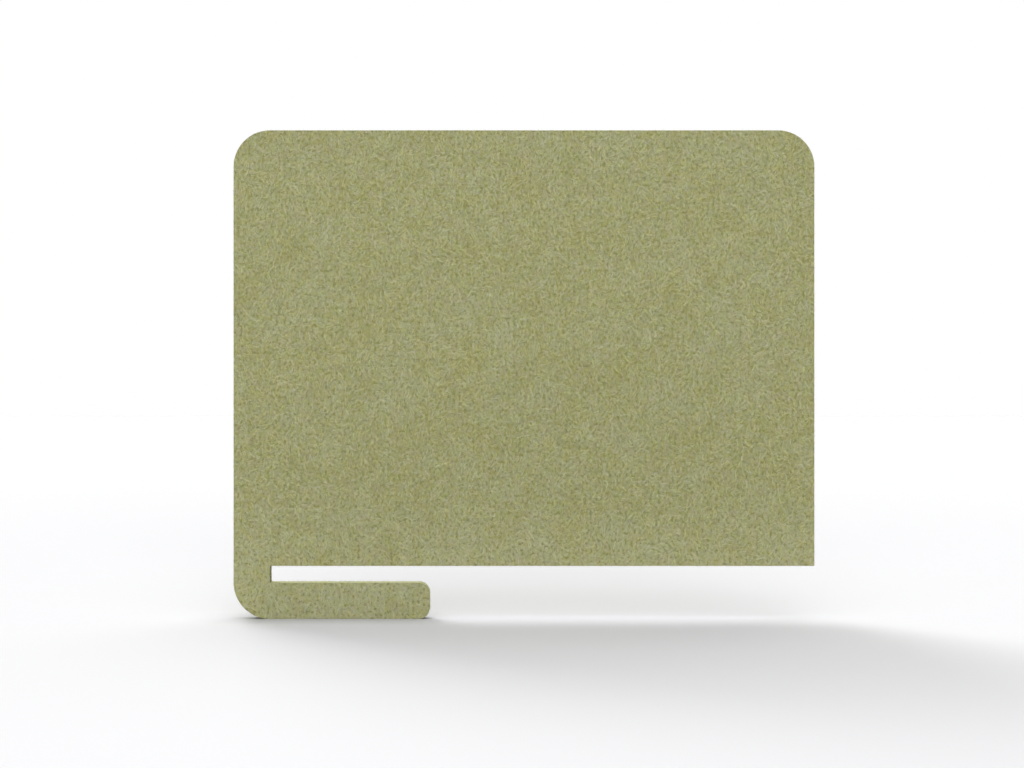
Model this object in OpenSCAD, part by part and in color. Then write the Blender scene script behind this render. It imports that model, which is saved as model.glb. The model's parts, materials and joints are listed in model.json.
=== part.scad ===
// Slide-on desk divider cut from pressed PET felt.
// Two felt sheets are bonded back to back and cut to one outline: a tall
// panel, and a leg that runs back under it and leaves a slot for the worktop.
// The origin is on the mid-plane, where the slot's end meets the panel's
// underside, so it sits on the top edge of the worktop. +X runs out of the
// slot and along the worktop, +Z is up and the front sheet is at -Y.

/* [Panel] */
// Width of the panel, from the arm's outer edge to the free end
panel_w = 800; // [500:10:1200]
// Height of the panel above the worktop
panel_h = 600; // [300:10:900]
// Radius of the panel's two top corners
corner_r = 50; // [10:5:120]

/* [Slot] */
// Thickness of the worktop that the slot slides over
worktop_t = 22; // [15:1:40]
// Play that the slot leaves round the worktop
slot_play = 1; // [0.5:0.25:3]
// Width of the arm that closes the slot's end
arm_w = 50; // [30:5:120]

/* [Leg] */
// Reach of the leg under the worktop, from the slot's end
leg_reach = 220; // [120:10:400]
// Height of the leg
leg_h = 50; // [35:5:100]
// Radius of the outer corner where the arm turns into the leg
heel_r = 50; // [10:5:70]
// Radius of the two corners at the leg's tip
tip_r = 15; // [2:1:17]

/* [Board] */
// Thickness of one felt sheet
sheet_t = 12; // [6:1:15]
// Thickness of the adhesive film between the sheets
film_t = 0.2; // [0.1:0.1:0.5]

/* [Hidden] */
// Facets of an arc
$fn = 96;
// How far a cut runs past the edge that it cuts
overrun = 1;

slot_h = worktop_t + slot_play;
leg_base_z = -(slot_h + leg_h);

felt_colour = [0.61, 0.61, 0.44];
film_colour = [0.86, 0.86, 0.78];

// What a round corner of radius r leaves of its square, with the corner at the
// origin and the square in the first quadrant
module corner_waste(r) {
    difference() {
        translate([-overrun, -overrun])
            square(r + overrun);
        translate([r, r])
            circle(r);
    }
}

module panel_outline() {
    difference() {
        square([panel_w, panel_h]);
        translate([0, panel_h])
            mirror([0, 1])
                corner_waste(corner_r);
        translate([panel_w, panel_h])
            rotate(180)
                corner_waste(corner_r);
    }
}

module leg_outline() {
    difference() {
        square([arm_w + leg_reach, leg_h]);
        translate([arm_w + leg_reach, 0])
            mirror([1, 0])
                corner_waste(tip_r);
        translate([arm_w + leg_reach, leg_h])
            rotate(180)
                corner_waste(tip_r);
    }
}

module hook_outline() {
    difference() {
        union() {
            leg_outline();
            square([arm_w, leg_h + slot_h]);
        }
        corner_waste(heel_r);
    }
}

// The whole outline, drawn flat with the row's Z as Y
module board_outline() {
    translate([-arm_w, 0])
        panel_outline();
    translate([-arm_w, leg_base_z])
        hook_outline();
}

// One layer of the board: its outline standing upright, its near face at y
module layer(y, thickness) {
    translate([0, y + thickness, 0])
        rotate([90, 0, 0])
            linear_extrude(thickness)
                board_outline();
}

module front_sheet() {
    color(felt_colour)
        layer(-film_t / 2 - sheet_t, sheet_t);
}

module adhesive_film() {
    color(film_colour)
        layer(-film_t / 2, film_t);
}

module rear_sheet() {
    color(felt_colour)
        layer(film_t / 2, sheet_t);
}

front_sheet();
adhesive_film();
rear_sheet();
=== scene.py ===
import json
from math import ceil, cos, pi, radians, sin

import bpy
import numpy as np
from mathutils import Matrix, Vector
from mathutils.geometry import delaunay_2d_cdt
from mathutils.kdtree import KDTree


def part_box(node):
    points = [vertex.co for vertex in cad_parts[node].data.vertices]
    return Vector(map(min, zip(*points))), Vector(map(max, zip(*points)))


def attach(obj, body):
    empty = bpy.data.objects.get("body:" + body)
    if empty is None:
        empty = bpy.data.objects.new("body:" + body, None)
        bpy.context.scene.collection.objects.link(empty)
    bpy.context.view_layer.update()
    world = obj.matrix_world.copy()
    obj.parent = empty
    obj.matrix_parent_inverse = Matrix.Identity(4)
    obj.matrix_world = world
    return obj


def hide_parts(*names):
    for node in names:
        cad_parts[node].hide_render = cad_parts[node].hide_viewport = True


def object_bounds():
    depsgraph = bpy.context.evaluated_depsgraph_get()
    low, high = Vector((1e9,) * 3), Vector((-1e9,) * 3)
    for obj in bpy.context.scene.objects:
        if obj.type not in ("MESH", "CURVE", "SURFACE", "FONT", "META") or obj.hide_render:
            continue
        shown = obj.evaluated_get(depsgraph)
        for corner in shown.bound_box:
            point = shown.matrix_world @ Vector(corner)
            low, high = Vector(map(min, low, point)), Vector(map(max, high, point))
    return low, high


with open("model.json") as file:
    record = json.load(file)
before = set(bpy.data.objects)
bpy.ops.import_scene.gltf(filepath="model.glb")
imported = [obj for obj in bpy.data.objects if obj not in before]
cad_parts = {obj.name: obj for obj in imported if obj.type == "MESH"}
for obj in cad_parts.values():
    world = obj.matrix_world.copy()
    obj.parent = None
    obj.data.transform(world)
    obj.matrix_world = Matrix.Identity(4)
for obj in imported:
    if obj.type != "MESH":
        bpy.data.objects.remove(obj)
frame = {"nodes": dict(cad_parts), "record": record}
cadLow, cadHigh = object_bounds()
mounts = {mount["name"]: Vector(mount["pos_m"]) for mount in frame["record"]["mounts"]}
print("frame loaded:", ", ".join(sorted(frame["nodes"])))


# view

camera = {
    "lens": 80.0,  # mm, on a sensor 36 mm wide
    "distance": 3.134,  # from the front face
    "height": 0.3236,  # above the floor
    "aside": -0.0165,  # from the middle of the panel
}


def makeCamera(values):
    data = bpy.data.cameras.new("camera")
    data.lens = values["lens"]
    made = bpy.data.objects.new("camera", data)
    bpy.context.scene.collection.objects.link(made)
    middle = (cadLow.x + cadHigh.x) / 2
    ahead = cadLow.y - values["distance"]
    made.location = (middle + values["aside"], ahead, cadLow.z + values["height"])
    made.rotation_euler = (radians(90), 0, 0)  # level, looking along +Y
    bpy.context.scene.camera = made


makeCamera(camera)
bpy.context.scene.view_settings.view_transform = "Standard"
print("camera made")


# node expressions

white = (1.0, 1.0, 1.0, 1.0)


class Wire:
    # a socket of a node tree that takes part in Python sums
    def __init__(self, socket):
        self.socket = socket
        self.tree = socket.id_data

    def other(self, name):
        # another output of the same node
        return Wire(self.socket.node.outputs[name])

    def math(self, operation, *others):
        values = dict(enumerate((self, *others)))
        return newNode(self.tree, "ShaderNodeMath", {"operation": operation}, values)

    def __add__(self, other):
        return self.math("ADD", other)

    def __radd__(self, other):
        return self.math("ADD", other)

    def __sub__(self, other):
        return self.math("SUBTRACT", other)

    def __rsub__(self, other):
        values = {0: other, 1: self}
        return newNode(self.tree, "ShaderNodeMath", {"operation": "SUBTRACT"}, values)

    def __mul__(self, other):
        return self.math("MULTIPLY", other)

    def __rmul__(self, other):
        return self.math("MULTIPLY", other)

    def __gt__(self, other):
        return self.math("GREATER_THAN", other)


def newNode(tree, kind, settings=None, values=None, output=0):
    # any node: its settings come first, then the values or links of its sockets
    node = tree.nodes.new(kind)
    for name, setting in (settings or {}).items():
        setattr(node, name, setting)
    for name, value in (values or {}).items():
        if isinstance(value, Wire):
            tree.links.new(value.socket, node.inputs[name])
        else:
            node.inputs[name].default_value = value
    return Wire(node.outputs[output])


def plug(wire, socket):
    wire.tree.links.new(wire.socket, socket)


def between(low, high, value):
    # 0 below low, 1 above high and smooth in between
    settings = {"interpolation_type": "SMOOTHSTEP"}
    steps = {"Value": value, "From Min": low, "From Max": high}
    return newNode(value.tree, "ShaderNodeMapRange", settings, steps)


def blend(factor, first, second):
    # two numbers: sockets 2 and 3 of the node
    return newNode(factor.tree, "ShaderNodeMix", None, {0: factor, 2: first, 3: second})


def mixed(factor, first, second):
    # two colours: sockets 6 and 7 of the node, and its output 2
    values = {0: factor, 6: first, 7: second}
    return newNode(factor.tree, "ShaderNodeMix", {"data_type": "RGBA"}, values, 2)


def tinted(colour, tint):
    settings = {"data_type": "RGBA", "blend_type": "MULTIPLY"}
    return newNode(colour.tree, "ShaderNodeMix", settings, {0: 1.0, 6: colour, 7: tint}, 2)


def vectorMath(operation, first, second=(0.0, 0.0, 0.0), output=0):
    values = {0: first, 1: second}
    return newNode(first.tree, "ShaderNodeVectorMath", {"operation": operation}, values, output)


def separate(vector):
    split = newNode(vector.tree, "ShaderNodeSeparateXYZ", None, {0: vector})
    return split, split.other("Y"), split.other("Z")


def combine(tree, x, y, z):
    return newNode(tree, "ShaderNodeCombineXYZ", None, {0: x, 1: y, 2: z})


def noise(place, size, detail, output="Fac", dimensions="3D"):
    settings = {"noise_dimensions": dimensions}
    values = {"Vector": place, "Scale": 1 / size, "Detail": detail}
    return newNode(place.tree, "ShaderNodeTexNoise", settings, values, output)


def ripple(place, size, detail, dimensions="3D"):
    # a noise about zero, from -0.5 to 0.5
    return noise(place, size, detail, "Fac", dimensions) - 0.5


def swing(place, size, detail, dimensions="3D"):
    # the same as a vector
    return vectorMath("SUBTRACT", noise(place, size, detail, "Color", dimensions), (0.5,) * 3)


def attribute(tree, name):
    # a number that a mesh carries at each of its points
    return newNode(tree, "ShaderNodeAttribute", {"attribute_name": name}, output="Fac")


def linear(red, green, blue):
    # a colour as a screen shows it, from 0 to 255, made linear by the standard curve of screens
    shares = [channel / 255 for channel in (red, green, blue)]
    curve = [s / 12.92 if s <= 0.04045 else ((s + 0.055) / 1.055) ** 2.4 for s in shares]
    return (*curve, 1.0)


def newMaterial(name):
    # a material, its shader and the place it is worked out at
    material = bpy.data.materials.new(name)
    material.use_nodes = True
    shader = material.node_tree.nodes["Principled BSDF"]
    return material, shader, newNode(material.node_tree, "ShaderNodeTexCoord", output="Object")


# felt cloth

felt = {
    # a noise is given by its size in metres and its detail
    "rearShift": 3.7,  # the rear face shows another part of the pattern
    "upright": 1.25,  # the pattern is squeezed sideways, so its strands stand more than they lie
    "curl": 0.0022,  # how far the strands wander
    "curlNoise": (0.014, 1.0),
    "layers": 8,  # of strands, one strand to a cell
    "topLayers": 4,  # that stand out in relief
    "layerShift": (7.3, 3.7, 0.0),  # from one layer's pattern to the next one's, in cells
    "cell": (0.0090, 0.0170),  # from the lowest layer to the top one
    "cellScatter": 0.8,  # how unevenly the cells lie, from 0 for a grid
    "halfWidth": 0.0009,
    "halfLength": 0.60,  # in shares of a cell
    "bend": 1.3,  # how much a strand bows, either way
    "fan": (1.35, 0.9),  # a strand is slim in its middle and fans out to its ends
    "sideFade": (0.5, 1.2),  # where its sides fade out, in shares of the half width
    "endFade": 0.6,  # where its ends start to, in shares of the half length
    "fibreWidth": 0.00026,
    "fibreSlant": 0.25,
    "fibreFade": (-0.15, 0.75),  # how a fibre fades into the gap beside it
    "fray": 0.0006,  # how far the fibres waver
    "frayNoise": (0.0012, 1.0),
    "flowNoise": (0.045, 0.0),  # the strands of a neighbourhood lie much the same way
    "flowTurn": 6.5,  # radians over the noise's whole range, about upright
    "stray": 1.5,  # radians, how much they differ
    "pitNoise": (0.0047, 3.0),  # pits between the strands, darker where they sink: partly tone, partly painted shade in the dips
    "holes": (0.09, 0.24),  # how low in a pit a dark hole starts, and where it is full: the holes' darkness is painted shade
    "driftNoise": (0.022, 2.0),  # slow changes of shade
    "hueNoise": (0.006, 1.0),  # hue and shade of the ground below the strands
    "cover": 0.95,  # how much a strand hides of the shade below it, and of the hue
    "hueCover": 0.8,
    "hueFold": 7.0,  # a strand's own number times this, less its whole part, is its hue
    "groundShade": 0.15,
    # what each thing adds to the shade, from dark to light, and to the relief
    "shade": {"hue": 0.25, "strand": 0.80, "fibre": 0.32, "pit": 0.7, "hole": 0.6, "drift": 0.28},
    "rise": {"ground": 0.5, "strand": 0.3, "fibre": 0.4, "layer": 0.5, "pit": 0.8, "hole": 0.5},
    "dark": linear(124, 124, 75),
    "light": linear(171, 171, 131),
    "cool": (1.0, 1.0, 1.20, 1.0),
    "warm": (1.0, 1.0, 0.80, 1.0),
    "warmth": {"patch": 0.85, "hue": 0.8, "fleck": 1.7},  # what moves the tint between the two
    "green": (0.95, 1.03, 1.0, 1.0),
    "pink": (1.05, 0.97, 1.0, 1.0),
    "flush": {"patch": 0.4, "blush": 1.35, "tinge": 0.6},  # and between these
    "tingeFold": 5.0,  # as for the hue, but with a strand's hue, for its tinge of pink
    "patchNoise": (0.05, 3.0),  # broad patches of shade and tint
    "patchShade": 0.2,
    "fleckNoise": (0.007, 2.0),  # small flecks, cool or warm
    "blushNoise": (0.015, 4.0),  # cloudy green and pink
    "footHeight": 0.20,  # painted light: over which the felt gets a little paler downwards, where the lamps leave the foot darker, and how much
    "footShade": 0.22,
    "streakSize": (0.0026, 0.0003, 0.0026),  # of a cut edge's pressed layers
    "streakDetail": 2.0,
    "speckNoise": (0.0009, 2.0),  # fine grain of a cut edge
    "swellNoise": (0.005, 2.0),  # and its slow changes
    "edgeShade": {"streak": 1.3, "speck": 1.2, "swell": 0.6},
    "edgeRise": {"streak": 0.6, "speck": 0.5},
    "edgePaleness": 1.47,  # not in the slot's end, which stays as dark as the face: painted shade in the slot
    "bumpDepth": 0.0006,
    "bumpStrength": 0.5,
    "roughness": 0.95,
}


def strandLayer(place, fray, flow, size, values):
    # one curved strand of fine fibres to each cell: how much of it is here, its own number from
    # 0 to 1, and its fibres as a wave from 0 to 1 across it
    settings = {"voronoi_dimensions": "2D"}
    inputs = {"Vector": place, "Scale": 1.0, "Randomness": values["cellScatter"]}
    cell = newNode(place.tree, "ShaderNodeTexVoronoi", settings, inputs, "Color")
    across, turned, own = separate(cell)
    local = vectorMath("SUBTRACT", place, cell.other("Position"))
    settings = {"rotation_type": "Z_AXIS"}
    inputs = {"Vector": local, "Angle": (turned - 0.5) * values["stray"] + flow}
    local = newNode(place.tree, "ShaderNodeVectorRotate", settings, inputs)
    along, aside, _ = separate(local)
    aside = aside + along * along * ((across - 0.5) * values["bend"])
    slim, fan = values["fan"]
    spread = aside.math("ABSOLUTE") * (slim - along.math("ABSOLUTE") * fan)
    width, length = values["halfWidth"] / size, values["halfLength"]
    inner, outer = values["sideFade"]
    body = 1 - between(width * inner, width * outer, spread)
    ends = 1 - between(length * values["endFade"], length, along.math("ABSOLUTE"))
    fibres = aside + along * across * values["fibreSlant"] + fray * (1 / size)
    fibres = (fibres * (size / values["fibreWidth"])).math("PINGPONG", 0.5) * 2.0
    return body * ends * between(*values["fibreFade"], fibres), own, fibres


def nappedFace(place, values):
    # shade, hue and height of the felt's face, a mat of curled strands with pits between them
    shades, rises = values["shade"], values["rise"]
    x, y, z = separate(place)
    flat = combine(place.tree, (x + (y > 0) * values["rearShift"]) * values["upright"], z, 0.0)
    curl = vectorMath("MULTIPLY", swing(flat, *values["curlNoise"], "2D"), (values["curl"],) * 3)
    bent = vectorMath("ADD", flat, curl)
    pits = ripple(flat, *values["pitNoise"], "2D")
    drift = ripple(flat, *values["driftNoise"], "2D")
    hue = noise(flat, *values["hueNoise"], dimensions="2D")
    shade = hue * shades["hue"] + values["groundShade"]
    height = pits * rises["ground"]
    fray = ripple(flat, *values["frayNoise"], "2D") * values["fray"]
    flow = ripple(flat, *values["flowNoise"], "2D") * values["flowTurn"] + pi / 2
    lowest, highest = values["cell"]
    for i in range(values["layers"]):
        size = lowest + (highest - lowest) * i / (values["layers"] - 1)
        moved = vectorMath("MULTIPLY", bent, (1 / size, 1 / size, 1.0))
        moved = vectorMath("ADD", moved, [shift * i for shift in values["layerShift"]])
        mask, own, fibres = strandLayer(moved, fray, flow, size, values)
        strand = own * shades["strand"] + fibres * shades["fibre"]
        shade = blend(mask * values["cover"], shade, strand)
        hue = blend(mask * values["hueCover"], hue, (own * values["hueFold"]).math("FRACT"))
        if i >= values["layers"] - values["topLayers"]:
            level = rises["layer"] * (i + 1) / values["layers"]
            strand = own * rises["strand"] + fibres * rises["fibre"] + level
            height = blend(mask, height, strand)
    # the low pits and holes are darker: painted shade in the dips of the nap
    holes = between(*values["holes"], 0 - pits)
    shade = shade + pits * shades["pit"] - holes * shades["hole"] + drift * shades["drift"]
    return shade, hue, height + pits * rises["pit"] - holes * rises["hole"]


def cutEdge(place, values):
    # shade and height of an edge, where the pressed layers show as streaks along it
    shades, rises = values["edgeShade"], values["edgeRise"]
    pressed = vectorMath("DIVIDE", place, values["streakSize"])
    streaks = noise(pressed, 1.0, values["streakDetail"])
    specks = noise(place, *values["speckNoise"])
    swell = noise(place, *values["swellNoise"])
    shade = (streaks - 0.5) * shades["streak"] + (specks - 0.5) * shades["speck"]
    shade = shade + (swell - 0.5) * shades["swell"] + 0.5
    return shade, streaks * rises["streak"] + specks * rises["speck"]


def makeFelt(name, values):
    material, shader, place = newMaterial(name)
    cut = attribute(material.node_tree, "cut")
    shade, hue, height = nappedFace(place, values)
    edgeShade, edgeHeight = cutEdge(place, values)
    shade = blend(cut, shade, edgeShade)
    height = blend(cut, height, edgeHeight)
    patch = ripple(place, *values["patchNoise"])
    fleck = ripple(place, *values["fleckNoise"])
    blush = ripple(place, *values["blushNoise"])
    # painted light: the felt is paler towards the foot, where the floor's shadow leaves it darker
    _, _, z = separate(place)
    paintedLight = 1 - between(cadLow.z, cadLow.z + values["footHeight"], z)
    shade = shade - patch * values["patchShade"] + paintedLight * values["footShade"]
    colour = mixed(shade, values["dark"], values["light"])
    # both tints are halfway at 0.5
    share = values["warmth"]
    warmth = patch * share["patch"] + (hue - 0.5) * share["hue"] + fleck * share["fleck"] + 0.5
    colour = tinted(colour, mixed(warmth, values["cool"], values["warm"]))
    share = values["flush"]
    tinge = (hue * values["tingeFold"]).math("FRACT") - 0.5
    flush = patch * share["patch"] + blush * share["blush"] + tinge * share["tinge"] + 0.5
    colour = tinted(colour, mixed(flush, values["green"], values["pink"]))
    # cut edges are paler, but not the slot's end wall, which keeps the face's darker colour as
    # painted shade
    pale = (values["edgePaleness"],) * 3 + (1.0,)
    paler = mixed(cut - attribute(material.node_tree, "deep"), white, pale)
    plug(tinted(colour, paler), shader.inputs["Base Color"])
    relief = {"Height": height, "Distance": values["bumpDepth"], "Strength": values["bumpStrength"]}
    plug(newNode(material.node_tree, "ShaderNodeBump", None, relief), shader.inputs["Normal"])
    shader.inputs["Roughness"].default_value = values["roughness"]
    return material


feltCloth = makeFelt("feltCloth", felt)
print("felt cloth made")


# felt sheets

outline = {
    "cornerRadius": 0.050,  # the panel's two top corners
    "heelRadius": 0.050,
    "tipRadius": 0.015,
    "legReach": 0.220,  # from the slot's end
    "sharpRadius": 0.0010,  # corners that are drawn sharp
    "slotRadius": 0.0006,
    "step": 0.0025,  # between stations
    "fewestSteps": 3,  # round a corner
}
sheet = {
    "pieces": {
        "frontFelt": ("front_sheet", "front_felt"),
        "rearFelt": ("rear_sheet", "rear_felt"),
    },
    "step": 0.0026,  # between the points of a face
    "rowShare": 0.866,  # of the step, from one row of points to the next
    "jitter": 0.28,  # of the step, how far a point strays from its row
    "clearance": 0.7,  # of the step, how far the points keep off the outline
    "seed": 7,
    "arris": 0.0005,  # radius of the face's soft edge
    "arrisSteps": 4,
    "arrisTurn": 6,  # power by which the arris turns from the face's look to the cut edge's
    "wallSteps": 5,
    "seamArris": 0.0003,
    "seamSteps": 2,
    "reliefDepth": 0.0004,
    "reliefNoise": (0.009, 2.0),  # its size in metres and its detail
    "edgeRelief": 0.6,  # what the edge has of the face's relief
    "squarely": 0.9,  # a wall faces +X when this much of its direction does
}
mapping = {
    "edge": 0.004,  # free margin of the bake's map
    "gap": 0.008,  # between the strips
    "hiddenWidth": 0.02,  # of the small copy of the hidden side, and where it starts
    "hiddenBase": 0.976,
}


def tracedOutline(values):
    # stations round the board, anticlockwise from the front: each one's place and outward way
    low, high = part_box("front_sheet")
    end, top, under = mounts["slot_end"].x, mounts["worktop_seat"].z, mounts["leg_seat"].z
    tip = end + values["legReach"]
    corners = [
        (low.x, low.z, values["heelRadius"]),
        (tip, low.z, values["tipRadius"]),
        (tip, under, values["tipRadius"]),
        (end, under, values["slotRadius"]),
        (end, top, values["slotRadius"]),
        (high.x, top, values["sharpRadius"]),
        (high.x, high.z, values["cornerRadius"]),
        (low.x, high.z, values["cornerRadius"]),
    ]
    bends = []
    for i, (x, z, radius) in enumerate(corners):
        corner = Vector((x, z))
        before = (corner - Vector(corners[i - 1][:2])).normalized()
        after = (Vector(corners[(i + 1) % len(corners)][:2]) - corner).normalized()
        turn = 1 if before.cross(after) > 0 else -1
        outward = Vector((before.y, -before.x))
        middle = corner - before * radius - outward * radius * turn
        steps = max(values["fewestSteps"], ceil(radius * pi / 2 / values["step"]))
        for k in range(steps + 1):
            way = Matrix.Rotation(turn * pi / 2 * k / steps, 2) @ outward
            bends.append((middle + way * radius * turn, way))
    places, ways = [], []
    for (place, way), (following, _) in zip(bends, bends[1:] + bends[:1]):
        pieces = max(1, round((following - place).length / values["step"]))
        for k in range(pieces):
            places.append(place.lerp(following, k / pieces))
            ways.append(way)
    return np.array(places), np.array(ways)


def ringProfile(thickness, values):
    # from the face to the film: how far in from the outline, how deep, how much of a cut edge
    soft, seam = values["arris"], values["seamArris"]
    rings = []
    for k in range(values["arrisSteps"] + 1):
        angle = pi / 2 * k / values["arrisSteps"]
        share = sin(angle) ** values["arrisTurn"]
        rings.append((soft * (1 - sin(angle)), soft * (1 - cos(angle)), share))
    for k in range(1, values["wallSteps"]):
        rings.append((0.0, soft + (thickness - soft - seam) * k / values["wallSteps"], 1.0))
    for k in range(values["seamSteps"] + 1):
        angle = pi / 2 * k / values["seamSteps"]
        rings.append((seam * (1 - cos(angle)), thickness - seam + seam * sin(angle), 1.0))
    return rings


def shrunk(places, ways, inset):
    # the outline drawn in, rounded to 8 places so that its straight sides are exactly straight
    return np.round(places - ways * inset, 8)


def isInside(points, edge):
    inside = np.zeros(len(points), bool)
    x, z = points.T
    for (ax, az), (bx, bz) in zip(edge, np.roll(edge, -1, 0)):
        if az != bz:
            inside ^= ((az > z) != (bz > z)) & (x < ax + (bx - ax) * (z - az) / (bz - az))
    return inside


def scatteredPoints(edge, values):
    # uneven points that fill a closed outline and keep off it
    step = values["step"]
    dice = np.random.default_rng(values["seed"])
    low, high = edge.min(0), edge.max(0)
    columns = np.arange(low[0], high[0], step)
    rows = np.arange(low[1], high[1], step * values["rowShare"])
    x, z = np.meshgrid(columns, rows)
    x[1::2] += step / 2
    spots = np.stack([x.ravel(), z.ravel()], 1)
    spots += dice.uniform(-1, 1, spots.shape) * step * values["jitter"]
    near = KDTree(len(edge))
    for k, (ax, az) in enumerate(edge):
        near.insert((ax, az, 0), k)
    near.balance()
    apart = [near.find((ax, az, 0))[2] for ax, az in spots.tolist()]
    clear = np.array(apart) > step * values["clearance"]
    return spots[clear & isInside(spots, edge)]


def triangulated(points, edge):
    # triangles between the points, those inside the outline; points within 1 nm count as one
    corners = [Vector(point) for point in points.tolist()]
    triangles = np.array(delaunay_2d_cdt(corners, [], [], 0, 1e-9, False)[2])
    return triangles[isInside(points[triangles].mean(1), edge)].tolist()


def distances(points):
    # how far along a line each of its points lies
    steps = np.linalg.norm(np.diff(points, axis=0), axis=1)
    return np.concatenate([[0], np.cumsum(steps)])


def sheetMesh(name, node, values, places, ways):
    # a sheet as a closed shell: its face, its edge in rings from face to film, its hidden side
    low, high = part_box(node)
    front = node == "front_sheet"
    face, deeper = (low.y, 1) if front else (high.y, -1)
    rings = ringProfile(high.y - low.y, values)
    count = len(places)
    first = shrunk(places, ways, rings[0][0])
    spots = np.vstack([first, scatteredPoints(first, values)])
    vertices = [(x, face, z) for x, z in spots.tolist()]
    cut = [0.0] * len(vertices)
    deep = [0.0] * len(vertices)
    # stations on the slot's end wall, which keeps the face's darker colour as painted shade
    shadedSlotEnd = places[:, 0] < mounts["slot_end"].x + values["step"]
    shadedSlotEnd &= ways[:, 0] > values["squarely"]
    for inset, depth, share in rings[1:]:
        drawn = shrunk(places, ways, inset).tolist()
        vertices += [(x, face + deeper * depth, z) for x, z in drawn]
        cut += [share] * count
        deep += (shadedSlotEnd * share).tolist()
    # the bake's map: the face, strips for the edge above it, and the hidden side small in a corner
    edge, gap = mapping["edge"], mapping["gap"]
    origin = places.min(0)
    wide, tall = np.ptp(places, 0)
    scale = (1 - 2 * edge) / wide
    faces = triangulated(spots, first)
    onMap = (edge + (spots - origin) * scale).tolist()
    mapped = [[onMap[v] for v in f] for f in faces]
    travelled = distances(np.vstack([places, places[:1]]))
    developed = distances([ring[:2] for ring in rings])
    stripTop = edge + tall * scale + gap
    stripStep = developed[-1] * scale + gap
    starts = [0] + [len(spots) + j * count for j in range(len(rings) - 1)]
    strip, began = 0, 0.0
    for k in range(count):
        if (travelled[k + 1] - began) * scale > 1 - 2 * edge:
            strip, began = strip + 1, travelled[k]
        u = [edge + (travelled[end] - began) * scale for end in (k, k + 1)]
        following = (k + 1) % count
        for j in range(len(rings) - 1):
            v = [stripTop + strip * stripStep + developed[end] * scale for end in (j, j + 1)]
            above, below = starts[j], starts[j + 1]
            faces.append([above + k, below + k, below + following, above + following])
            mapped.append([(u[0], v[0]), (u[0], v[1]), (u[1], v[1]), (u[1], v[0])])
    print(name, "map's strips end at", round(stripTop + (strip + 1) * stripStep, 3))
    last = shrunk(places, ways, rings[-1][0])
    small = mapping["hiddenWidth"] / wide
    onMap = ((edge, mapping["hiddenBase"]) + (last - origin) * small).tolist()
    for triangle in triangulated(last, last):
        faces.append([starts[-1] + v for v in reversed(triangle)])
        mapped.append([onMap[v] for v in reversed(triangle)])
    if not front:
        faces = [list(reversed(f)) for f in faces]
        mapped = [list(reversed(m)) for m in mapped]
    mesh = bpy.data.meshes.new(name)
    mesh.from_pydata(vertices, [], faces)
    bakeMap = mesh.uv_layers.new(name="OFBake")
    bakeMap.data.foreach_set("uv", np.array([c for m in mapped for c in m], np.float32).ravel())
    # which points are the face's, and how much of the relief each one has, none at the seam
    rest = len(vertices) - len(spots)
    still = (values["seamSteps"] + 1) * count
    isFace = [1.0] * len(spots) + [0.0] * rest
    rises = [1.0] * len(spots) + [values["edgeRelief"]] * (rest - still) + [0.0] * still
    for title, numbers in (("cut", cut), ("deep", deep), ("face", isFace), ("rise", rises)):
        mesh.attributes.new(title, "FLOAT", "POINT").data.foreach_set("value", numbers)
    ends = np.empty(len(mesh.edges) * 2, np.int32)
    mesh.edges.foreach_get("vertices", ends)
    seam = (ends.reshape(-1, 2) >= starts[-1]).all(1)
    mesh.attributes.new("sharp_edge", "BOOLEAN", "EDGE").data.foreach_set("value", seam)
    return mesh


def geometryTree(name, inputs):
    # an empty geometry tree with named inputs, and those inputs as wires
    tree = bpy.data.node_groups.new(name, "GeometryNodeTree")
    for title, kind in {"Geometry": "NodeSocketGeometry", **inputs}.items():
        tree.interface.new_socket(title, in_out="INPUT", socket_type=kind)
    tree.interface.new_socket("Geometry", in_out="OUTPUT", socket_type="NodeSocketGeometry")
    start = tree.nodes.new("NodeGroupInput")
    return tree, {socket.name: Wire(socket) for socket in start.outputs if socket.name}


def closeTree(geometry, material):
    # every tree ends by making its instances real and setting their material
    real = newNode(geometry.tree, "GeometryNodeRealizeInstances", None, {0: geometry})
    dressed = newNode(geometry.tree, "GeometryNodeSetMaterial", None, {0: real, 2: material})
    end = geometry.tree.nodes.new("NodeGroupOutput")
    plug(dressed, end.inputs[0])


def grown(name, mesh, tree, inputs, material):
    # the plain mesh that a geometry tree makes from another mesh
    carrier = bpy.data.objects.new(name, mesh)
    bpy.context.scene.collection.objects.link(carrier)
    modifier = carrier.modifiers.new(tree.name, "NODES")
    modifier.node_group = tree
    for socket in tree.interface.items_tree:
        if socket.in_out == "INPUT" and socket.name in inputs:
            modifier[socket.identifier] = inputs[socket.name]
    graph = bpy.context.evaluated_depsgraph_get()
    settings = {"preserve_all_data_layers": True, "depsgraph": graph}
    made = bpy.data.meshes.new_from_object(carrier.evaluated_get(graph), **settings)
    bpy.data.objects.remove(carrier)
    made.name = name
    made.materials.clear()
    made.materials.append(material)
    return made


def named(tree, name):
    # a number that the mesh carries at each of its points
    return newNode(tree, "GeometryNodeInputNamedAttribute", {"data_type": "FLOAT"}, {"Name": name})


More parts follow.
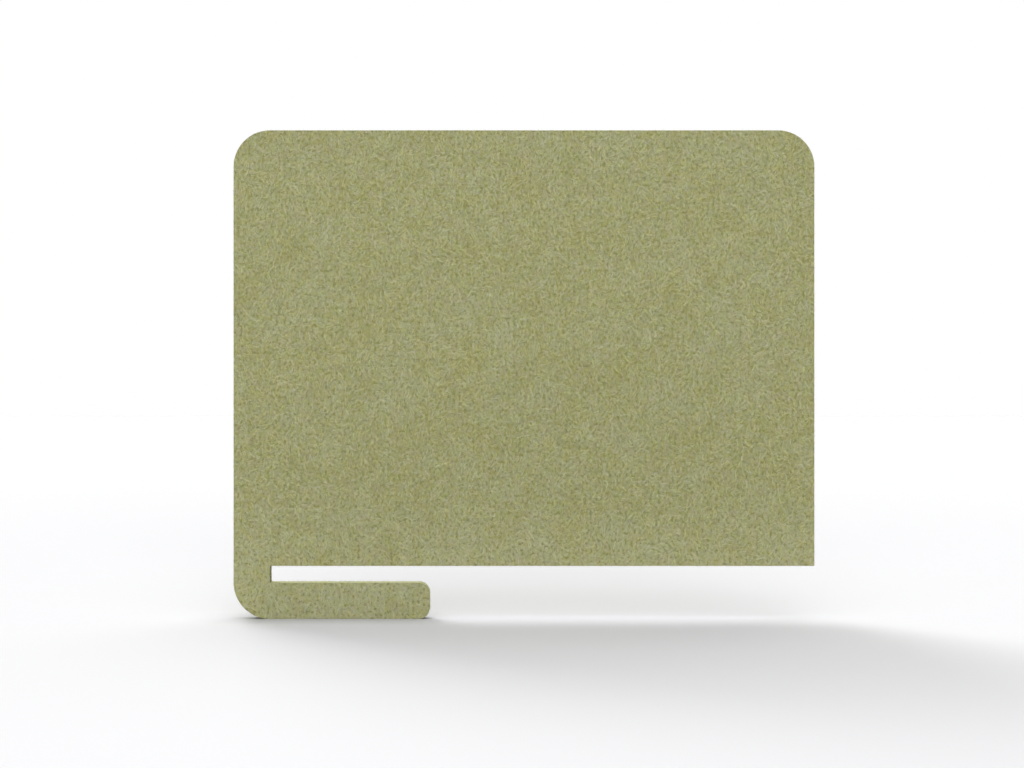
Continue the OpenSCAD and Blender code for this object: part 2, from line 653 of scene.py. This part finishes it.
def reliefTree(values, material):
    # the nap's swells, as deep as the input says on the face and less on the edge
    tree, given = geometryTree("napRelief", {"Depth": "NodeSocketFloat"})
    place = newNode(tree, "GeometryNodeInputPosition")
    normal = newNode(tree, "GeometryNodeInputNormal")
    depth = ripple(place, *values["reliefNoise"]) * 2.0 * given["Depth"] * named(tree, "rise")
    offset = {0: normal, "Scale": depth}
    offset = newNode(tree, "ShaderNodeVectorMath", {"operation": "SCALE"}, offset)
    moved = {"Geometry": given["Geometry"], "Offset": offset}
    moved = newNode(tree, "GeometryNodeSetPosition", None, moved)
    smooth = newNode(tree, "GeometryNodeSetShadeSmooth", None, {0: moved})
    closeTree(smooth, material)
    return tree


def addPiece(name, mesh, node=None):
    piece = bpy.data.objects.new(name, mesh)
    bpy.context.scene.collection.objects.link(piece)
    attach(piece, "root")
    if node:
        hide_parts(node)
    low, high = np.array(piece.bound_box).min(0), np.array(piece.bound_box).max(0)
    triangles = sum(len(polygon.vertices) - 2 for polygon in mesh.polygons)
    print(name, triangles, "triangles, from", low.round(4), "to", high.round(4))


places, ways = tracedOutline(outline)
napRelief = reliefTree(sheet, feltCloth)
sheets = {}
for pieceName, (nodeName, slotName) in sheet["pieces"].items():
    base = sheetMesh(pieceName + "Base", nodeName, sheet, places, ways)
    sheets[slotName] = grown(pieceName, base, napRelief, {"Depth": sheet["reliefDepth"]}, feltCloth)
    addPiece(pieceName, sheets[slotName], nodeName)


# loose fibres

strands = {
    # a noise is given by its size in metres and its detail
    "radius": (0.00006, 0.00015),
    "wander": 0.0120,  # how far a strand swings from a straight line
    "wanderNoise": (0.012, 1.0),
    "lift": 0.0005,  # how far it weaves out of the face
    "liftNoise": (0.008, 1.0),
    "overhang": 0.0004,  # how far it may reach past the cloth's outline
    "fewestPoints": 4,  # of the rest of a strand that is kept
    "pieces": {
        "LongStrands": {
            "Seed": 11,
            "Count": 2700,
            "Points": 12,
            "Shortest": 0.014,
            "Longest": 0.044,
            "Darkest": 0.45,
        },
        "ShortStrands": {
            "Seed": 23,
            "Count": 4300,
            "Points": 8,
            "Shortest": 0.008,
            "Longest": 0.022,
            "Darkest": 0.0,
        },
    },
}
hairs = {
    "radius": (0.00004, 0.00007),
    "tilt": 1.0,  # radians
    "wander": 0.0022,
    "wanderNoise": (0.004, 1.0),
    "root": 0.15,  # how deep a hair starts in the cloth, in shares of its length
    "edgeShare": 6.0,  # how many more there are on a cut edge
    "leastRise": 0.3,  # of the cloth's relief where they grow, so none at the seam
    "pieces": {
        "Hairs": {
            "Seed": 41,
            "Count": 6000,
            "Points": 4,
            "Shortest": 0.0010,
            "Longest": 0.0032,
            "Darkest": 0.2,
        },
    },
}
fibre = {
    "dark": linear(132, 133, 86),
    "light": linear(201, 200, 166),
    "cool": (0.965, 1.005, 1.13, 1.0),
    "warm": (1.025, 0.985, 0.87, 1.0),
    "mottleNoise": (0.004, 1.0),
    "mottleShade": 0.4,
    "mottleHue": 0.5,
    "roughness": 0.9,
    "sides": 3,  # of a strand's tube
    "thickens": (-0.06, 0.25),  # along a strand, which runs from 0 to 1
    "thins": (0.75, 1.06),
    "noiseStep": 0.613,  # each strand reads the noises this far from where the last one does
    # added to a piece's seed: one for each random draw, and one at the rear
    "seedSteps": {"width": 1, "shade": 2, "hue": 3, "tiltX": 4, "tiltY": 5, "length": 7},
    "rearSeed": 50,
    "mapMargin": 0.15,  # free part of a strand's cell in the bake's map
}


def makeFibre(name, values):
    material, shader, place = newMaterial(name)
    own = attribute(material.node_tree, "shade")
    hue = attribute(material.node_tree, "hue")
    mottle = ripple(place, *values["mottleNoise"])
    colour = mixed(own + mottle * values["mottleShade"], values["dark"], values["light"])
    tint = mixed(hue + mottle * values["mottleHue"], values["cool"], values["warm"])
    plug(tinted(colour, tint), shader.inputs["Base Color"])
    shader.inputs["Roughness"].default_value = values["roughness"]
    return material


def chance(low, high, given, draw=None, strand=None):
    # a random number for each point, or for each strand: sockets 2 and 3 of the node, and output 1
    seed = given["Seed"] + fibre["seedSteps"][draw] if draw else given["Seed"]
    values = {2: low, 3: high, "Seed": seed}
    if strand:
        values["ID"] = strand
    return newNode(seed.tree, "FunctionNodeRandomValue", {"data_type": "FLOAT"}, values, 1)


def stored(geometry, name, value):
    settings = {"data_type": "FLOAT", "domain": "POINT"}
    values = {0: geometry, "Name": name, "Value": value}
    return newNode(geometry.tree, "GeometryNodeStoreNamedAttribute", settings, values)


def spotsOn(selection, density, given):
    # random spots on the cloth, where the selection holds
    settings = {"distribute_method": "RANDOM"}
    values = {
        "Mesh": given["Geometry"],
        "Selection": selection,
        "Density": density,
        "Seed": given["Seed"],
    }
    return newNode(density.tree, "GeometryNodeDistributePointsOnFaces", settings, values)


def linesOn(spots, start, end, turn, size, given):
    # a straight line on each spot, turned and sized
    tree = spots.tree
    line = newNode(tree, "GeometryNodeCurvePrimitiveLine", None, {"Start": start, "End": end})
    line = newNode(tree, "GeometryNodeResampleCurve", None, {0: line, "Count": given["Points"]})
    values = {"Points": spots, "Instance": line, "Rotation": turn, "Scale": size}
    lines = newNode(tree, "GeometryNodeInstanceOnPoints", None, values)
    return newNode(tree, "GeometryNodeRealizeInstances", None, {0: lines})


def ownPlace(place, strand):
    # where a strand reads the noises, apart from where the others do
    step = combine(place.tree, 0.0, strand * fibre["noiseStep"], 0.0)
    return vectorMath("ADD", place, step)


def tubes(curves, strand, given, values):
    # each curve as a tube, thin at its ends, with its own shade, hue and number
    tree = curves.tree
    along = newNode(tree, "GeometryNodeSplineParameter")
    taper = between(*fibre["thickens"], along) * (1 - between(*fibre["thins"], along))
    width = chance(*values["radius"], given, "width", strand) * taper
    curves = stored(curves, "shade", chance(given["Darkest"], 1.0, given, "shade", strand))
    curves = stored(curves, "hue", chance(0.0, 1.0, given, "hue", strand))
    curves = stored(curves, "strand", strand)
    curves = stored(curves, "span", along)
    ring = {"Resolution": fibre["sides"], "Radius": 1.0}
    ring = newNode(tree, "GeometryNodeCurvePrimitiveCircle", None, ring)
    values = {0: curves, 1: ring, "Scale": width, "Fill Caps": True}
    return newNode(tree, "GeometryNodeCurveToMesh", None, values)


fibreInputs = {
    "Seed": "NodeSocketInt",
    "Points": "NodeSocketInt",
    "Density": "NodeSocketFloat",
    "Outward": "NodeSocketFloat",
    "Shortest": "NodeSocketFloat",
    "Longest": "NodeSocketFloat",
    "Darkest": "NodeSocketFloat",
}


def strandTree(values, material):
    # strands that lie on a sheet's face and weave in and out of it
    tree, given = geometryTree("looseStrands", fibreInputs)
    spots = spotsOn(named(tree, "face") > 0.5, given["Density"], given)
    turn = combine(tree, 0.0, chance(0.0, pi, given), 0.0)
    turn = newNode(tree, "FunctionNodeEulerToRotation", None, {0: turn})
    size = combine(tree, chance(given["Shortest"], given["Longest"], given, "length"), 1.0, 1.0)
    laid = linesOn(spots, (-0.5, 0.0, 0.0), (0.5, 0.0, 0.0), turn, size, given)
    strand = newNode(tree, "GeometryNodeCurveOfPoint")
    place = newNode(tree, "GeometryNodeInputPosition")
    own = ownPlace(place, strand)
    wander = (values["wander"], 0.0, values["wander"])
    offset = vectorMath("MULTIPLY", swing(own, *values["wanderNoise"]), wander)
    swung = newNode(tree, "GeometryNodeSetPosition", None, {"Geometry": laid, "Offset": offset})
    # cut off what hangs over the cloth's outline, and lay the rest onto the face
    sample = {0: given["Geometry"], "Sample Position": place}
    nearest = newNode(tree, "GeometryNodeProximity", {"target_element": "FACES"}, sample)
    gap = vectorMath("MULTIPLY", vectorMath("SUBTRACT", nearest, place), (1.0, 0.0, 1.0))
    over = vectorMath("LENGTH", gap, output="Value") > values["overhang"]
    kept = newNode(tree, "GeometryNodeDeleteGeometry", {"domain": "POINT"}, {0: swung, 1: over})
    x, _, z = separate(place)
    _, surface, _ = separate(nearest)
    weave = ripple(own, *values["liftNoise"]) * 2.0 * values["lift"]
    onto = combine(tree, x, surface + weave * given["Outward"], z)
    woven = newNode(tree, "GeometryNodeSetPosition", None, {"Geometry": kept, "Position": onto})
    points = newNode(tree, "GeometryNodeSplineLength", output="Point Count")
    short = values["fewestPoints"] - 0.5 - points > 0
    whole = newNode(tree, "GeometryNodeDeleteGeometry", {"domain": "CURVE"}, {0: woven, 1: short})
    closeTree(tubes(whole, strand, given, values), material)
    return tree


def hairTree(values, material):
    # short hairs that stand out of the cloth, most of them on its cut edges
    tree, given = geometryTree("looseHairs", fibreInputs)
    density = given["Density"] * (named(tree, "cut") * values["edgeShare"] + 1.0)
    spots = spotsOn(named(tree, "rise") > values["leastRise"], density, given)
    tilts = [chance(-values["tilt"], values["tilt"], given, way) for way in ("tiltX", "tiltY")]
    tilt = newNode(tree, "FunctionNodeEulerToRotation", None, {0: combine(tree, *tilts, 0.0)})
    turn = {0: spots.other("Rotation"), 1: tilt}
    turn = newNode(tree, "FunctionNodeRotateRotation", {"rotation_space": "LOCAL"}, turn)
    length = chance(given["Shortest"], given["Longest"], given, "length")
    size = combine(tree, length, length, length)
    standing = linesOn(spots, (0.0, 0.0, -values["root"]), (0.0, 0.0, 1.0), turn, size, given)
    strand = newNode(tree, "GeometryNodeCurveOfPoint")
    along = newNode(tree, "GeometryNodeSplineParameter")
    own = ownPlace(newNode(tree, "GeometryNodeInputPosition"), strand)
    reach = along * along * values["wander"]
    reach = combine(tree, reach, reach, reach)
    offset = vectorMath("MULTIPLY", swing(own, *values["wanderNoise"]), reach)
    curled = {"Geometry": standing, "Offset": offset}
    curled = newNode(tree, "GeometryNodeSetPosition", None, curled)
    closeTree(tubes(curled, strand, given, values), material)
    return tree


def mapStrands(mesh):
    # the bake's map: many thin strands, each with a small cell of its own
    strand, span = (np.empty(len(mesh.vertices), np.float32) for _ in range(2))
    mesh.attributes["strand"].data.foreach_get("value", strand)
    mesh.attributes["span"].data.foreach_get("value", span)
    corners = np.empty(len(mesh.loops), np.int32)
    mesh.loops.foreach_get("vertex_index", corners)
    number = np.unique(strand, return_inverse=True)[1][corners]
    cells = ceil((number.max() + 1) ** 0.5)
    sides, margin = fibre["sides"], fibre["mapMargin"]
    spot = np.stack([span[corners], corners % sides / (sides - 1)], 1)
    starts, sizes = (np.empty(len(mesh.polygons), np.int32) for _ in range(2))
    mesh.polygons.foreach_get("loop_start", starts)
    mesh.polygons.foreach_get("loop_total", sizes)
    caps = starts[sizes == sides]
    for k, corner in enumerate(((0, 0), (1, 0), (0, 1))):
        spot[caps + k] = corner
    cell = np.stack([number % cells, number // cells], 1)
    spot = (cell + margin + (1 - 2 * margin) * spot) / cells
    for name in ("strand", "span", "cut", "deep", "face", "rise", "OFBake"):
        if name in mesh.attributes:
            mesh.attributes.remove(mesh.attributes[name])
    bakeMap = mesh.uv_layers.new(name="OFBake")
    bakeMap.data.foreach_set("uv", spot.astype(np.float32).ravel())


fibreStuff = makeFibre("looseFibre", fibre)
area = abs(np.cross(places, np.roll(places, -1, 0)).sum()) / 2
for values, makeTree in ((strands, strandTree), (hairs, hairTree)):
    fibreTree = makeTree(values, fibreStuff)
    for pieceName, pieceValues in values["pieces"].items():
        for slotName, cloth in sheets.items():
            rear = slotName == "rear_felt"
            side = "rear" if rear else "front"
            inputs = {**pieceValues, "Density": pieceValues["Count"] / area}
            inputs["Outward"] = 1.0 if rear else -1.0
            inputs["Seed"] += fibre["rearSeed"] * rear
            mesh = grown(side + pieceName, cloth, fibreTree, inputs, fibreStuff)
            mapStrands(mesh)
            addPiece(mesh.name, mesh)


# adhesive film

film = {
    "pale": linear(206, 203, 176),
    "deep": linear(176, 174, 138),
    "cloudNoise": (0.007, 3.0),  # its size in metres and its detail
    "speckNoise": (0.0007, 1.0),
    "speckShare": 0.6,  # of the shade, and the clouds have the rest
    "shades": (0.35, 0.7),  # of both together, where the pale ends and the deep begins
    "bumpDepth": 0.00005,
    "roughness": (0.45, 0.75),
}


def makeFilm(name, values):
    # cured adhesive, cloudy, with specks of felt caught in it
    material, shader, place = newMaterial(name)
    cloud = noise(place, *values["cloudNoise"])
    specks = noise(place, *values["speckNoise"])
    shade = specks * values["speckShare"] + cloud * (1 - values["speckShare"])
    colour = mixed(between(*values["shades"], shade), values["pale"], values["deep"])
    plug(colour, shader.inputs["Base Color"])
    plug(blend(cloud, *values["roughness"]), shader.inputs["Roughness"])
    relief = {"Height": specks, "Distance": values["bumpDepth"]}
    plug(newNode(place.tree, "ShaderNodeBump", None, relief), shader.inputs["Normal"])
    return material


filmStuff = makeFilm("adhesiveFilm", film)
for materialSlot in frame["nodes"]["adhesive_film"].material_slots:
    materialSlot.material = filmStuff
print("adhesive film dressed")


# studio

studio = {
    "floorSize": 40.0,
    "floorColour": (0.80, 0.80, 0.813, 1.0),
    "farColour": (0.828, 0.828, 0.834, 1.0),
    "farAway": (0.6, 4.6),  # metres from the slot's end, over which the one turns to the other
    # a faint blue beside the screen, against the yellow that the felt casts on the floor
    "besideTint": (1.0, 1.0, 1.048, 1.0),
    "besideReach": 0.7,
    "besideShift": 0.1,  # towards the front
    "besideShare": 0.35,  # of the screen's length, where it starts to fade sideways, and how fast
    "asideFall": 3.0,
    "contactShade": 0.6,  # painted contact shadow: how much the floor's colour darkens where something stands on it, and how near
    "contactReach": 0.08,
    "contactSamples": 8,
    "skyLight": 0.02,
    # each lamp: strength, degrees across it, degrees above the floor, bearing from +Y towards -X
    "lamps": {
        "lowKey": (1.29, 30.0, 25.0, 23.0),
        "midKey": (0.55, 30.0, 35.0, 23.0),
        "backLight": (1.54, 60.0, 60.0, 0.0),
        "lowFill": (2.03, 40.0, 10.0, 180.0),
        "highFill": (1.35, 60.0, 60.0, 180.0),
    },
}


def makeFloor(values):
    half = values["floorSize"] / 2
    corners = [(-half, -half), (half, -half), (half, half), (-half, half)]
    mesh = bpy.data.meshes.new("floor")
    mesh.from_pydata([(x, y, cadLow.z) for x, y in corners], [], [(0, 1, 2, 3)])
    floor = bpy.data.objects.new("floor", mesh)
    bpy.context.scene.collection.objects.link(floor)
    material, shader, place = newMaterial("floorPaper")
    x, behind, _ = separate(place)
    far = between(*values["farAway"], vectorMath("LENGTH", place, output="Value"))
    colour = mixed(far, values["floorColour"], values["farColour"])
    start = (cadHigh.x - cadLow.x) * values["besideShare"]
    aside = (x - (cadLow.x + cadHigh.x) / 2).math("ABSOLUTE") - start
    aside = aside.math("MAXIMUM", 0.0) * values["asideFall"]
    ahead = behind + values["besideShift"]
    away = (aside * aside + ahead * ahead).math("SQRT")
    near = (1 - away * (1 / values["besideReach"])).math("MAXIMUM", 0.0)
    colour = tinted(colour, mixed(near * near, white, values["besideTint"]))
    # painted contact shadow: ambient occlusion darkens the floor's colour near the screen
    settings = {"samples": values["contactSamples"]}
    reach = {"Distance": values["contactReach"]}
    light = newNode(place.tree, "ShaderNodeAmbientOcclusion", settings, reach, "AO")
    plug(tinted(colour, 1 - (1 - light) * values["contactShade"]), shader.inputs["Base Color"])
    shader.inputs["Roughness"].default_value = 1.0  # quite matt
    shader.inputs["Specular IOR Level"].default_value = 0.0
    mesh.materials.append(material)


def makeSun(name, strength, angle, height, bearing):
    data = bpy.data.lights.new(name, "SUN")
    data.energy = strength
    data.angle = radians(angle)
    lamp = bpy.data.objects.new(name, data)
    bpy.context.scene.collection.objects.link(lamp)
    level = cos(radians(height))
    towards = (-sin(radians(bearing)) * level, cos(radians(bearing)) * level, sin(radians(height)))
    lamp.rotation_euler = Vector(towards).to_track_quat("Z", "Y").to_euler()


def makeSky(values):
    # white to the camera and in reflections, and a soft even light for the rest
    world = bpy.data.worlds.new("sky")
    bpy.context.scene.world = world
    world.use_nodes = True
    tree = world.node_tree
    background = tree.nodes["Background"]
    ray = newNode(tree, "ShaderNodeLightPath", output="Is Camera Ray")
    seen = ray.math("MAXIMUM", ray.other("Is Glossy Ray"))
    seen = seen.math("MAXIMUM", ray.other("Is Transmission Ray"))
    plug(seen * (1 - values["skyLight"]) + values["skyLight"], background.inputs["Strength"])
    background.inputs["Color"].default_value = white


makeFloor(studio)
makeSky(studio)
for lampName, lampValues in studio["lamps"].items():
    makeSun(lampName, *lampValues)
print("studio made")
